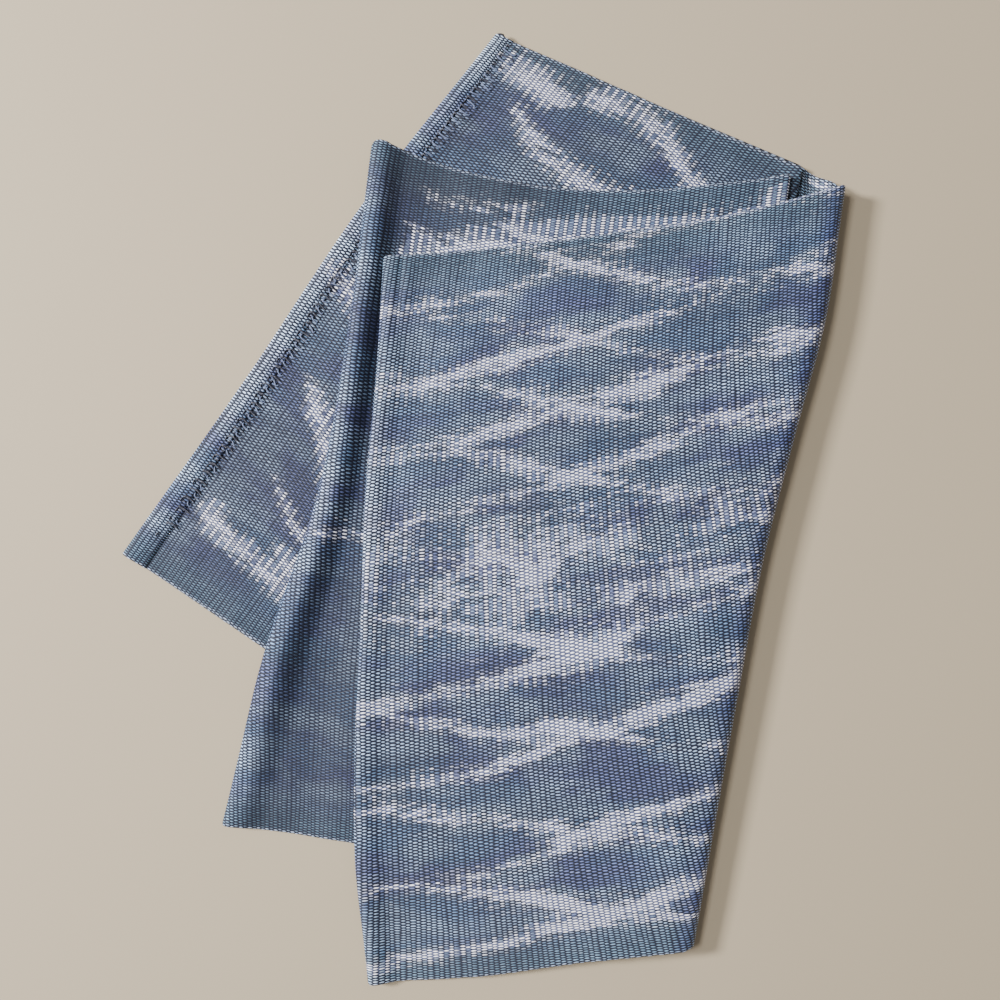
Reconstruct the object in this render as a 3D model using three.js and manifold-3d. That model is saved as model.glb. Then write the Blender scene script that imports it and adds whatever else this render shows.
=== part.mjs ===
// Infinity scarf: one long strip of warp-faced handwoven cloth, sewn end to end into a loop, then
// laid flat and folded like a fan into three stretches that lie on one another.
// Units are millimetres, +Z is up, and the origin is the middle of the footprint on the table.
// Each stretch is a wall of cloth swept across its two folds, row by row from selvedge to selvedge.
import * as THREE from "three";
import Module from "manifold-3d";

const CLOTH = 1.2; // thickness of the cloth
const SEAM_GAP = 0.3; // air between two pieces that are sewn or laid together
const CLEARANCE = 0.45; // air kept between the hidden layers and the stretches round them
const FOLD_STEPS = 6; // facets round one fold
const WIDTH_STEPS = 15; // facets from one selvedge to the other
const CLOSE_STOPS = [2.5, 5, 7.5, 12, 19]; // facet ends beside a left fold, where it bends most
const LAP = { foldShare: 0.75, stops: 3 }; // the lap runs from high on the fold to the third stop
const TURN_UNDER = 14; // cloth kept below a fold before it joins the hidden layers
const LANDING = 24; // cloth of the front stretch that lies on the table below its right fold
const LANDED = 0.6; // share of the landing after which it touches the table
const CENTRE = new THREE.Vector2(-2.2, 0.1); // middle of the footprint of the outlines below

const HIDDEN = {
  inset: 6, // the hidden layers stop this far inside the selvedges
  ridges: [1.4, 0.5, 1.9], // how far each layer bulges out at the edge, from the top one down
  ridgeFlat: { from: 0.22, to: 0.78 }, // part of a layer's thickness where its bulge is upright
  behindFold: 17, // they also stop this far behind a left fold
  channel: 18, // width left free inside the front's right fold, where all the layers meet
  beyondFold: 8, // reach of the lower layers past the middle stretch's right fold, into the channel
  step: 3, // width of the slope down into the channel
  intoFold: 0.5, // reach of the upper layers into the round of the front's right fold
  steps: 11, // facets along and across
  thinnest: 0.5, // least thickness, where two stretches nearly touch
  margin: 38, // a stretch keeps the layers off this far beyond its selvedge
  around: 20, // and they clear all of it within this distance, as they are coarser
  within: 6, // likewise for the stretch above them
};

const COLOURS = { cloth: 0x7286a0, join: 0x8799b0, inner: 0x64778f };
const ROUGHNESS = 0.8;

// Outlines in plan: left and right edges from the top selvedge down, selvedges from left to right.
// The points of an outline are about evenly spaced.
const BACK = {
  left: [
    { x: 5.5, y: 235.5 },
    { x: -60, y: 152 },
    { x: -119, y: 64 },
    { x: -180, y: -22.5 },
  ],
  right: [
    { x: 157.5, y: 169 },
    { x: 129, y: 46 },
    { x: 101, y: -78 },
    { x: 79, y: -199 },
  ],
  top: [
    { x: 5.5, y: 235.5 },
    { x: 56.5, y: 214 },
    { x: 107, y: 191.5 },
    { x: 157.5, y: 169 },
  ],
  bottom: [
    { x: -180, y: -22.5 },
    { x: -114.5, y: -65.5 },
    { x: -50, y: -109.5 },
    { x: 14.5, y: -154 },
    { x: 79, y: -199 },
  ],
};
const MIDDLE = {
  left: [
    { x: -55.5, y: 182 },
    { x: -66.5, y: 96 },
    { x: -82, y: 10 },
    { x: -109.5, y: -72 },
    { x: -131, y: -156.5 },
  ],
  right: [
    { x: 150, y: 164.5 },
    { x: 133, y: 47 },
    { x: 105, y: -73 },
    { x: 85, y: -188 },
  ],
  top: [
    { x: -55.5, y: 182 },
    { x: -16, y: 168.5 },
    { x: 25, y: 160 },
    { x: 67, y: 157.5 },
    { x: 109, y: 160 },
    { x: 150, y: 164.5 },
  ],
  bottom: [
    { x: -131, y: -156.5 },
    { x: -23, y: -172 },
    { x: 85, y: -188 },
  ],
};
const FRONT = {
  left: [
    { x: -50, y: 123.5 },
    { x: -53.5, y: 64 },
    { x: -59, y: 4 },
    { x: -61, y: -56 },
    { x: -64, y: -116 },
    { x: -64, y: -176 },
    { x: -58.5, y: -235.5 },
  ],
  right: [
    { x: 175.5, y: 157.5 },
    { x: 167, y: 95 },
    { x: 151, y: 34 },
    { x: 135.5, y: -27.5 },
    { x: 124, y: -90 },
    { x: 113, y: -152.5 },
    { x: 102.5, y: -215 },
  ],
  top: [
    { x: -50, y: 123.5 },
    { x: 6.5, y: 128.5 },
    { x: 63.5, y: 135.5 },
    { x: 120, y: 144 },
    { x: 175.5, y: 157.5 },
  ],
  bottom: [
    { x: -58.5, y: -235.5 },
    { x: -4.5, y: -231.5 },
    { x: 49, y: -222.5 },
    { x: 102.5, y: -215 },
  ],
};

// Heights of the middle of the cloth above the table, one row for each section, which is `at` a
// share of the width from the top selvedge (0) to the bottom one (1): below the left fold, on its
// crown, in the valley beside it, near and far on the flat, on the shoulder and the end of the
// flat, where the right fold begins, and below that fold. The valley lies `valleyAt` from the left
// fold, and STATIONS gives the other places as shares of the way across.
const COLUMNS = ["at", "below", "crown", "valley", "valleyAt", "near", "far", "shoulder", "end", "landing"];
const BACK_SECTIONS = [
  [0, 0.6, 3.4, 2.5, 20, 2.4, 2.7, 3.2, 4.6, 2.2],
  [0.25, 0.6, 3.4, 2.5, 20, 2.8, 2.4, 2.7, 4.4, 2.2],
  [0.5, 0.6, 3.6, 2.4, 22, 2.4, 2.4, 2.7, 4.4, 2.2],
  [0.75, 0.6, 3.5, 2.7, 24, 2.4, 2.4, 2.7, 4.4, 2.2],
  [1, 0.6, 3.3, 2.4, 20, 2.4, 2.4, 2.7, 4.4, 2.2],
];
const MIDDLE_SECTIONS = [
  [0, 6.8, 12.6, 8, 18, 5.8, 5.6, 7.6, 9.6, 6.8],
  [0.1, 6.8, 14, 7.9, 17, 6.8, 6.8, 7.8, 9.8, 6.8],
  [0.2, 5.8, 13.2, 6.8, 15, 6.9, 6.9, 7.6, 10, 6.8],
  [0.35, 4.7, 12.8, 5.8, 16, 7, 7, 7.4, 10.4, 7],
  [0.55, 4.6, 12.2, 5.6, 20, 7, 7, 7.4, 10.4, 7],
  [0.78, 4.4, 10.4, 4.9, 23, 6.6, 7, 7.4, 10.4, 7],
  [0.88, 1, 7, 3.6, 22, 5.2, 6.8, 7.2, 9.6, 7],
  [1, 0.7, 6.2, 3, 22, 4.2, 6, 7, 9.1, 6.8],
];
const FRONT_SECTIONS = [
  [0, 9.6, 13, 10.4, 16, 9.7, 10.6, 14.2, 15.6, 8],
  [0.08, 9.7, 14.6, 12, 15, 12.2, 13.4, 16.4, 17, 1.6],
  [0.3, 9.3, 14.7, 12.6, 15, 12.6, 14.4, 16.8, 17, 0.6],
  [0.5, 9.2, 14.2, 12.3, 16, 12.6, 14.2, 16.8, 17, 0.6],
  [0.62, 8.8, 13.2, 11.4, 16, 12, 13.8, 16.4, 16.4, 0.6],
  [0.74, 8, 11.8, 9.8, 15, 10.8, 13, 15.6, 15.6, 0.6],
  [0.83, 7.5, 10.8, 8.6, 15, 9.4, 12, 14.8, 14.8, 0.6],
  [0.93, 0.9, 7.2, 4.8, 15, 6.8, 11.2, 13.9, 13.9, 0.6],
  [1, 0.6, 6.4, 3.6, 15, 4.9, 9.2, 12.4, 12.8, 0.6],
];
const STATIONS = {
  back: { near: 0.35, far: 0.7, shoulder: 0.92 },
  middle: { near: 0.3, far: 0.65, shoulder: 0.93 },
  front: { near: 0.33, far: 0.66, shoulder: 0.88 },
};

// Ways in which the cloth leaves below a fold, at the top selvedge and at the bottom one.
const AWAY = {
  frontLeft: { top: { x: 1, y: 0.08 }, bottom: { x: 1, y: 0.3 } },
  frontRight: { top: { x: -0.8, y: 0.6 }, bottom: { x: -0.83, y: 0.56 } },
  middleLeft: { top: { x: 1, y: -0.42 }, bottom: { x: 1, y: 0.02 } },
  middleRight: { top: { x: -1, y: -0.25 }, bottom: { x: -1, y: 0.15 } },
  backRight: { top: { x: -1, y: 0.2 }, bottom: { x: -1, y: 0.6 } },
};

const mix = THREE.MathUtils.lerp;
const clamp = THREE.MathUtils.clamp;

// Smooth curve through the points (places, levels). Past its ends it goes straight on, or level
// where `flatEnds` is set.
function curve(places, levels, x, flatEnds = false) {
  const last = places.length - 1;
  const slope = (i, j) => (levels[j] - levels[i]) / (places[j] - places[i]);
  const tangent = (i) => {
    if (flatEnds && (i === 0 || i === last)) return 0;
    return slope(Math.max(i - 1, 0), Math.min(i + 1, last));
  };
  if (x <= places[0]) return levels[0] + tangent(0) * (x - places[0]);
  if (x >= places[last]) return levels[last] + tangent(last) * (x - places[last]);
  const b = places.findIndex((place) => place > x);
  const a = b - 1;
  const span = places[b] - places[a];
  const rise = levels[b] - levels[a];
  const f = (x - places[a]) / span;
  const bend = (tangent(a) * span - rise) * (1 - f) + (rise - tangent(b) * span) * f;
  return levels[a] + rise * f + f * (1 - f) * bend;
}

// The points of an outline as a function of the share of its length.
function along(outline) {
  const places = outline.map((_, i) => i / (outline.length - 1));
  const xs = outline.map((row) => row.x);
  const ys = outline.map((row) => row.y);
  return (share) => new THREE.Vector2(curve(places, xs, share), curve(places, ys, share));
}

// Plan of a stretch, blended between its outlines: s runs across the folds, t across the width.
function planOf(outlines) {
  const left = along(outlines.left);
  const right = along(outlines.right);
  const top = along(outlines.top);
  const bottom = along(outlines.bottom);
  const [topLeft, topRight, bottomLeft, bottomRight] = [left(0), right(0), left(1), right(1)];
  return (s, t) => {
    const point = top(s).multiplyScalar(1 - t);
    point.addScaledVector(bottom(s), t);
    point.addScaledVector(left(t), 1 - s);
    point.addScaledVector(right(t), s);
    point.addScaledVector(topLeft, -(1 - s) * (1 - t));
    point.addScaledVector(topRight, -s * (1 - t));
    point.addScaledVector(bottomLeft, -(1 - s) * t);
    return point.addScaledVector(bottomRight, -s * t);
  };
}

// Plan of the cloth below a fold, which runs from the edge `side` in the way that `away` gives.
function planBelow(plan, side, away) {
  return (d, t) => {
    const way = new THREE.Vector2(mix(away.top.x, away.bottom.x, t), mix(away.top.y, away.bottom.y, t));
    return plan(side, t).addScaledVector(way.normalize(), d);
  };
}

const plans = { back: planOf(BACK), middle: planOf(MIDDLE), front: planOf(FRONT) };
const landingPlan = planBelow(plans.front, 1, AWAY.frontRight);

// The bottom layer lies on the table from the joined edge to the landing of the front stretch.
const baseLength = (t) => plans.back(0, t).distanceTo(landingPlan(LANDING + SEAM_GAP, t));

function basePlan(d, t) {
  return plans.back(0, t).lerp(landingPlan(LANDING + SEAM_GAP, t), d / baseLength(t));
}

const columnsOf = (rows) => Object.fromEntries(COLUMNS.map((name, i) => [name, rows.map((row) => row[i])]));
const turnUnder = () => TURN_UNDER;

const STRETCHES = {
  back: {
    plan: plans.back,
    sections: columnsOf(BACK_SECTIONS),
    stations: STATIONS.back,
    flatSteps: 7,
    left: { plan: basePlan, length: baseLength, steps: 5 },
    right: { plan: planBelow(plans.back, 1, AWAY.backRight), length: turnUnder, steps: 1 },
  },
  middle: {
    plan: plans.middle,
    sections: columnsOf(MIDDLE_SECTIONS),
    stations: STATIONS.middle,
    flatSteps: 7,
    left: { plan: planBelow(plans.middle, 0, AWAY.middleLeft), length: turnUnder, steps: 2 },
    right: { plan: planBelow(plans.middle, 1, AWAY.middleRight), length: turnUnder, steps: 2 },
  },
  front: {
    plan: plans.front,
    sections: columnsOf(FRONT_SECTIONS),
    stations: STATIONS.front,
    flatSteps: 10,
    left: { plan: planBelow(plans.front, 0, AWAY.frontLeft), length: turnUnder, steps: 2 },
    right: { plan: landingPlan, length: () => LANDING, steps: 4, restsAt: CLOTH / 2 },
  },
};

const widthOf = (stretch) => stretch.plan(0.5, 0).distanceTo(stretch.plan(0.5, 1));

// The sizes of one row of a stretch: its heights, its reach from fold to fold, and where the flat
// of it begins and ends.
function sectionOf(stretch, t) {
  const { at, ...columns } = stretch.sections;
  const sizes = {};
  for (const [name, levels] of Object.entries(columns)) {
    sizes[name] = Math.max(curve(at, levels, clamp(t, 0, 1)), CLOTH / 2);
  }
  const reach = stretch.plan(0, t).distanceTo(stretch.plan(1, t));
  const leftRadius = (sizes.crown - sizes.below) / 2;
  const rightRadius = (sizes.end - sizes.landing) / 2;
  const from = CLOTH / 2 + leftRadius;
  const to = reach - CLOTH / 2 - rightRadius;
  return { ...sizes, reach, leftRadius, rightRadius, from, to };
}

// Height of the top layer of a section at a length d from its left edge.
function topHeight(section, stations, d) {
  const { from, to, reach } = section;
  const shares = [stations.near, stations.far, stations.shoulder];
  const places = [from, section.valleyAt, ...shares.map((share) => share * reach), to];
  const levels = [section.crown, section.valley, section.near, section.far, section.shoulder, section.end];
  return curve(places, levels, clamp(d, from, to), true);
}

// Greatest or least height (`pick`) of the top layer within a distance of d.
function heightNear(pick, section, stations, d, distance) {
  return pick(...[-distance, 0, distance].map((shift) => topHeight(section, stations, d + shift)));
}

// The middle of the cloth along one row, from its end below the left fold to the one below the
// right fold.
function rowOf(stretch, t) {
  const section = sectionOf(stretch, t);
  const { from, to, reach, leftRadius, rightRadius } = section;
  const { left, right, plan, flatSteps } = stretch;
  const row = [];
  const add = (point, z) => row.push(new THREE.Vector3(point.x, point.y, z));
  for (let i = left.steps; i > 0; i--) {
    add(left.plan(mix(from, left.length(t), i / left.steps), t), section.below);
  }
  for (let i = 0; i <= FOLD_STEPS; i++) {
    const angle = (Math.PI * i) / FOLD_STEPS;
    const d = from - leftRadius * Math.sin(angle);
    const point = left.plan(d, t).lerp(plan(d / reach, t), i / FOLD_STEPS);
    add(point, section.below + leftRadius * (1 - Math.cos(angle)));
  }
  const flatFrom = from + CLOSE_STOPS.at(-1);
  const stops = CLOSE_STOPS.map((stop) => from + stop);
  for (let i = 1; i <= flatSteps; i++) stops.push(mix(flatFrom, to, i / (flatSteps + 1)));
  for (const d of stops) add(plan(d / reach, t), topHeight(section, stretch.stations, d));
  for (let i = 0; i <= FOLD_STEPS; i++) {
    const angle = (Math.PI * i) / FOLD_STEPS;
    const d = reach - to - rightRadius * Math.sin(angle);
    const point = plan(1 - d / reach, t).lerp(right.plan(d, t), i / FOLD_STEPS);
    add(point, section.landing + rightRadius * (1 + Math.cos(angle)));
  }
  for (let i = 1; i <= right.steps; i++) {
    const share = i / right.steps;
    const rest = THREE.MathUtils.smoothstep(share, 0, LANDED);
    const z = mix(section.landing, right.restsAt ?? section.landing, rest);
    add(right.plan(mix(reach - to, right.length(t), share), t), z);
  }
  return row;
}

// The rows of a stretch from selvedge to selvedge.
function gridOf(stretch) {
  return Array.from({ length: WIDTH_STEPS + 1 }, (_, i) => rowOf(stretch, i / WIDTH_STEPS));
}

// Outward direction of the cloth at each point of a grid of rows.
function outwardOf(grid) {
  const lastRow = grid.length - 1;
  return grid.map((row, r) =>
    row.map((_, c) => {
      const across = row[Math.min(c + 1, row.length - 1)].clone().sub(row[Math.max(c - 1, 0)]);
      const down = grid[Math.min(r + 1, lastRow)][c].clone().sub(grid[Math.max(r - 1, 0)][c]);
      return down.cross(across).normalize();
    }),
  );
}

function movedOut(grid, outward, distance) {
  return grid.map((row, r) => row.map((point, c) => point.clone().addScaledVector(outward[r][c], distance)));
}

// A closed shell between an outer and an inner grid of points.
function shellOf(outer, inner) {
  const rows = outer.length;
  const columns = outer[0].length;
  const index = [];
  const quad = (a, b, c, d) => index.push(a, b, c, a, c, d);
  const at = (row, column, side) => (side * rows + row) * columns + column;
  for (let r = 0; r + 1 < rows; r++) {
    for (let c = 0; c + 1 < columns; c++) {
      quad(at(r, c, 0), at(r + 1, c, 0), at(r + 1, c + 1, 0), at(r, c + 1, 0));
      quad(at(r, c, 1), at(r, c + 1, 1), at(r + 1, c + 1, 1), at(r + 1, c, 1));
    }
    quad(at(r, 0, 0), at(r, 0, 1), at(r + 1, 0, 1), at(r + 1, 0, 0));
    quad(at(r, columns - 1, 0), at(r + 1, columns - 1, 0), at(r + 1, columns - 1, 1), at(r, columns - 1, 1));
  }
  for (let c = 0; c + 1 < columns; c++) {
    quad(at(0, c, 0), at(0, c + 1, 0), at(0, c + 1, 1), at(0, c, 1));
    quad(at(rows - 1, c, 0), at(rows - 1, c, 1), at(rows - 1, c + 1, 1), at(rows - 1, c + 1, 0));
  }
  return meshOf([...outer.flat(), ...inner.flat()], index);
}

function meshOf(points, index) {
  const geometry = new THREE.BufferGeometry();
  const positions = points.flatMap((point) => point.toArray());
  geometry.setAttribute("position", new THREE.Float32BufferAttribute(positions, 3));
  geometry.setIndex(index);
  return geometry;
}

// The wall of a stretch.
function wallOf(stretch) {
  const grid = gridOf(stretch);
  const outward = outwardOf(grid);
  return shellOf(movedOut(grid, outward, CLOTH / 2), movedOut(grid, outward, -CLOTH / 2));
}

// The lapped end of the strip, laid on a stretch from high on its left fold to the stitches.
function lapOf(stretch) {
  const grid = gridOf(stretch);
  const outward = outwardOf(grid);
  const first = stretch.left.steps + Math.round(FOLD_STEPS * LAP.foldShare);
  const last = stretch.left.steps + FOLD_STEPS + LAP.stops;
  const lapped = (distance) => movedOut(grid, outward, distance).map((row) => row.slice(first, last + 1));
  const underside = CLOTH / 2 + SEAM_GAP;
  return shellOf(lapped(underside + CLOTH), lapped(underside));
}

const wasm = await Module();
wasm.setup();

function solidOf(geometry) {
  const vertProperties = geometry.attributes.position.array;
  const triVerts = new Uint32Array(geometry.index.array);
  return new wasm.Manifold(new wasm.Mesh({ numProp: 3, vertProperties, triVerts }));
}

function geometryOf(solid) {
  const mesh = solid.getMesh();
  const geometry = new THREE.BufferGeometry();
  geometry.setAttribute("position", new THREE.BufferAttribute(mesh.vertProperties.slice(), 3));
  geometry.setIndex(Array.from(mesh.triVerts));
  return geometry;
}

// Shares (s, t) at which a plan passes through a point, found by Newton's method.
function shareOf(plan, point) {
  const rounds = 12;
  const tiny = 1e-4;
  const share = new THREE.Vector2(0.5, 0.5);
  for (let i = 0; i < rounds; i++) {
    const here = plan(share.x, share.y);
    const across = plan(share.x + tiny, share.y).sub(here).divideScalar(tiny);
    const down = plan(share.x, share.y + tiny).sub(here).divideScalar(tiny);
    const miss = here.sub(point);
    const area = across.cross(down);
    share.x -= miss.cross(down) / area;
    share.y -= across.cross(miss) / area;
  }
  return share;
}

// Height that lies just clear of the upper face of a stretch at a point, or of the table where the
// point is more than HIDDEN.margin beyond the bottom selvedge.
function clearOf(stretch, point) {
  const share = shareOf(stretch.plan, point);
  if ((share.y - 1) * widthOf(stretch) > HIDDEN.margin) return 0;
  const section = sectionOf(stretch, share.y);
  const d = share.x * section.reach;
  const lapEnd = section.from + CLOSE_STOPS[LAP.stops - 1];
  const lap = stretch === STRETCHES.back && d < lapEnd + HIDDEN.margin ? SEAM_GAP + CLOTH : 0;
  const level = heightNear(Math.max, section, stretch.stations, d, HIDDEN.around);
  return level + CLOTH / 2 + CLEARANCE + lap;
}

// A solid between two grids with the same edge, whose sides bulge out once for each layer.
function layeredSolid(top, bottom) {
  const last = { row: top.length - 1, column: top[0].length - 1 };
  const ring = [];
  for (let c = 0; c < last.column; c++) ring.push([0, c]);
  for (let r = 0; r < last.row; r++) ring.push([r, last.column]);
  for (let c = last.column; c > 0; c--) ring.push([last.row, c]);
  for (let r = last.row; r > 0; r--) ring.push([r, 0]);
  const points = [...top.flat(), ...bottom.flat()];
  const index = [];
  const quad = (a, b, c, d) => index.push(a, b, c, a, c, d);
  const at = ([r, c], side) => side * top.length * top[0].length + r * top[0].length + c;
  for (let r = 0; r < last.row; r++) {
    for (let c = 0; c < last.column; c++) {
      quad(at([r, c], 0), at([r + 1, c], 0), at([r + 1, c + 1], 0), at([r, c + 1], 0));
      quad(at([r, c], 1), at([r, c + 1], 1), at([r + 1, c + 1], 1), at([r + 1, c], 1));
    }
  }
  const layers = HIDDEN.ridges.length;
  const profile = HIDDEN.ridges.flatMap((bulge, k) => [
    { down: (k + HIDDEN.ridgeFlat.from) / layers, out: bulge },
    { down: (k + HIDDEN.ridgeFlat.to) / layers, out: bulge },
    { down: (k + 1) / layers, out: 0 },
  ]);
  profile.pop();
  const strips = ring.map((place, i) => {
    const [before, after] = [ring.at(i - 1), ring[(i + 1) % ring.length]];
    const [upper, lower] = [points[at(place, 0)], points[at(place, 1)]];
    const edge = points[at(after, 0)].clone().sub(points[at(before, 0)]);
    const out = new THREE.Vector3(-edge.y, edge.x, 0).normalize();
    const middle = profile.map((stop) => {
      points.push(upper.clone().lerp(lower, stop.down).addScaledVector(out, stop.out));
      return points.length - 1;
    });
    return [at(place, 0), ...middle, at(place, 1)];
  });
  strips.forEach((strip, i) => {
    const next = strips[(i + 1) % strips.length];
    for (let k = 0; k + 1 < strip.length; k++) quad(strip[k], next[k], next[k + 1], strip[k + 1]);
  });
  return solidOf(meshOf(points, index));
}

// Places along a section at which the layers hidden below it are worked out. `landed` ones lie
// below the right fold's return, and `open` ones have only the bottom layer under them.
function evenPlaces(from, to) {
  return Array.from({ length: HIDDEN.steps - 1 }, (_, i) => ({ d: mix(from, to, i / (HIDDEN.steps - 2)) }));
}

function placesBelowFront(section) {
  const edge = section.reach - HIDDEN.channel;
  const slope = { d: edge + HIDDEN.step, open: true };
  const end = { d: section.to + HIDDEN.intoFold, open: true };
  return [...evenPlaces(HIDDEN.behindFold, edge), slope, end];
}

function placesBelowMiddle(section) {
  const edge = section.reach - TURN_UNDER - HIDDEN.step;
  const slope = { d: edge, landed: true };
  const end = { d: section.reach + HIDDEN.beyondFold, landed: true };
  return [...evenPlaces(HIDDEN.behindFold, edge - HIDDEN.step), slope, end];
}

// The layers hidden between a stretch and the one that it lies on.
function layersBetween(stretch, placesOf, lower) {
  const width = widthOf(stretch);
  const gap = CLOTH / 2 + CLEARANCE;
  const top = [];
  const bottom = [];
  for (let i = 0; i <= HIDDEN.steps; i++) {
    const t = mix(HIDDEN.inset, width - HIDDEN.inset, i / HIDDEN.steps) / width;
    const section = sectionOf(stretch, t);
    const places = placesOf(section);
    const points = places.map(({ d }) => stretch.plan(d / section.reach, t));
    const ceilings = places.map(({ d, landed }) => {
      if (landed) return section.landing - gap;
      return heightNear(Math.min, section, stretch.stations, d, HIDDEN.within) - gap;
    });
    const floors = places.map(({ open }, k) => {
      const floor = open ? section.landing + gap : clearOf(lower, points[k]);
      return Math.min(floor, ceilings[k] - HIDDEN.thinnest);
    });
    top.push(points.map((point, k) => new THREE.Vector3(point.x, point.y, ceilings[k])));
    bottom.push(points.map((point, k) => new THREE.Vector3(point.x, point.y, floors[k])));
  }
  return layeredSolid(top, bottom);
}

// All the hidden layers as one rounded solid, joined inside the right fold of the front stretch.
function hiddenLayersOf({ back, middle, front }) {
  const upper = layersBetween(front, placesBelowFront, middle);
  return geometryOf(upper.add(layersBetween(middle, placesBelowMiddle, back)));
}

const scarf = new THREE.Group();
scarf.name = "infinity_scarf";

function addPiece(name, geometry, color) {
  geometry.translate(-CENTRE.x, -CENTRE.y, 0);
  const mesh = new THREE.Mesh(geometry, new THREE.MeshStandardMaterial({ color, roughness: ROUGHNESS }));
  mesh.name = name;
  scarf.add(mesh);
}

addPiece("back_stretch", wallOf(STRETCHES.back), COLOURS.cloth);
addPiece("join_lap", lapOf(STRETCHES.back), COLOURS.join);
addPiece("middle_stretch", wallOf(STRETCHES.middle), COLOURS.cloth);
addPiece("front_stretch", wallOf(STRETCHES.front), COLOURS.cloth);
addPiece("hidden_layers", hiddenLayersOf(STRETCHES), COLOURS.inner);

export default scarf;
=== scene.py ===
"""Infinity scarf, folded like a fan and laid flat: the looks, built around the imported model.

Every stretch of cloth is a thin closed shell. Its plan is blended between four outlines, and its
height comes from a short table of sections. Sizes are in millimetres until a mesh is made.
"""

import math

import bpy
import numpy as np
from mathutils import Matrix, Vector
from mathutils.bvhtree import BVHTree


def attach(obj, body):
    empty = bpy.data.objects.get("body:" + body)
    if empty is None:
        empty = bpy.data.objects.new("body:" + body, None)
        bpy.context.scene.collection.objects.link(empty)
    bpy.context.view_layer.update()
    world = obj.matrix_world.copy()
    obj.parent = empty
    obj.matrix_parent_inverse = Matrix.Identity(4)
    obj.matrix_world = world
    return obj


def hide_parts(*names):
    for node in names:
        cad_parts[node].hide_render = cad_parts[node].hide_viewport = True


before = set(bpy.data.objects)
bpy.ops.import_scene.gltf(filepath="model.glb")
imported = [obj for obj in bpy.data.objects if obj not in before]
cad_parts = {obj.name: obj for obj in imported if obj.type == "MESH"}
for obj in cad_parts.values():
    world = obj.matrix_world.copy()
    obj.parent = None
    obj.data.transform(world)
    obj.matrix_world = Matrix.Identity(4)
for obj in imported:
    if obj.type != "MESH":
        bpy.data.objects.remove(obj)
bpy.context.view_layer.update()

MM = 0.001
CLOTH = 1.2  # thickness of the cloth
SEAM_GAP = 0.3  # air between pieces that meet
TURN_UNDER = 14  # how far a stretch goes on below its fold
LANDING = 24  # how far the front stretch goes on along the table below its right fold
LANDED = 0.6  # share of that way in which it comes down to the table
CENTRE = np.array([-2.2, 0.1])  # middle of the footprint, where the outlines put it

# The lapped end: the share of the left fold that it leaves bare, how far it goes on past the fold,
# and the share of its length from which it is pressed, to a share of its thickness and a gap.
LAP = {"fold_share": 0.72, "width": 7.5, "pressed_from": 0.5, "pressed": 0.3, "pressed_gap": 0.06}
SELVEDGE_ROWS = [0, 0.25, 0.6, 1.1, 2.0]  # places of the first rows inside a selvedge
LOWEST = {"back": 0.5, "middle": 1.8, "front": 1.8}  # depths that no dip passes
ROUND_CORNER = {"back": 2, "middle": 4.5, "front": 2}  # radius of the upper left corner, in plan
ROUND_EDGE = 1.3  # the cloth thins to a round edge over this width
BLUNT = 0.03  # keeps the very edge from being sharp
GRID_STEP = 1.6  # spacing of the cloth's points

PICK = 2.25  # from one weft thread to the next, along the scarf
END = {"middle": 0.84, "selvedge": 0.65, "band": 45}  # from one warp thread to the next
AIR = 0.5  # air kept round the hidden layers

# Outlines in plan: edges from the top selvedge down, selvedges from left to right.
BACK = {
    "left": [(5.5, 235.5), (-60, 152), (-119, 64), (-180, -22.5)],
    "right": [(157.5, 169), (129, 46), (101, -78), (79, -199)],
    "top": [(5.5, 235.5), (56.5, 214), (107, 191.5), (157.5, 169)],
    "bottom": [(-180, -22.5), (-114.5, -65.5), (-50, -109.5), (14.5, -154), (79, -199)],
}
MIDDLE = {
    "left": [(-55.5, 182), (-66.5, 96), (-82, 10), (-109.5, -72), (-131, -156.5)],
    "right": [(150, 164.5), (133, 47), (105, -73), (85, -188)],
    "top": [(-55.5, 182), (-16, 168.5), (25, 160), (67, 157.5), (109, 160), (150, 164.5)],
    "bottom": [(-131, -156.5), (-23, -172), (85, -188)],
}
FRONT = {
    "left": [
        (-50, 123.5), (-53.5, 64), (-59, 4), (-61, -56), (-64, -116), (-64, -176), (-58.5, -235.5),
    ],
    "right": [
        (175.5, 157.5), (167, 95), (151, 34), (135.5, -27.5), (124, -90), (113, -152.5), (102.5, -215),
    ],
    "top": [(-50, 123.5), (6.5, 128.5), (63.5, 135.5), (120, 144), (175.5, 157.5)],
    "bottom": [(-58.5, -235.5), (-4.5, -231.5), (49, -222.5), (102.5, -215)],
}

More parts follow.
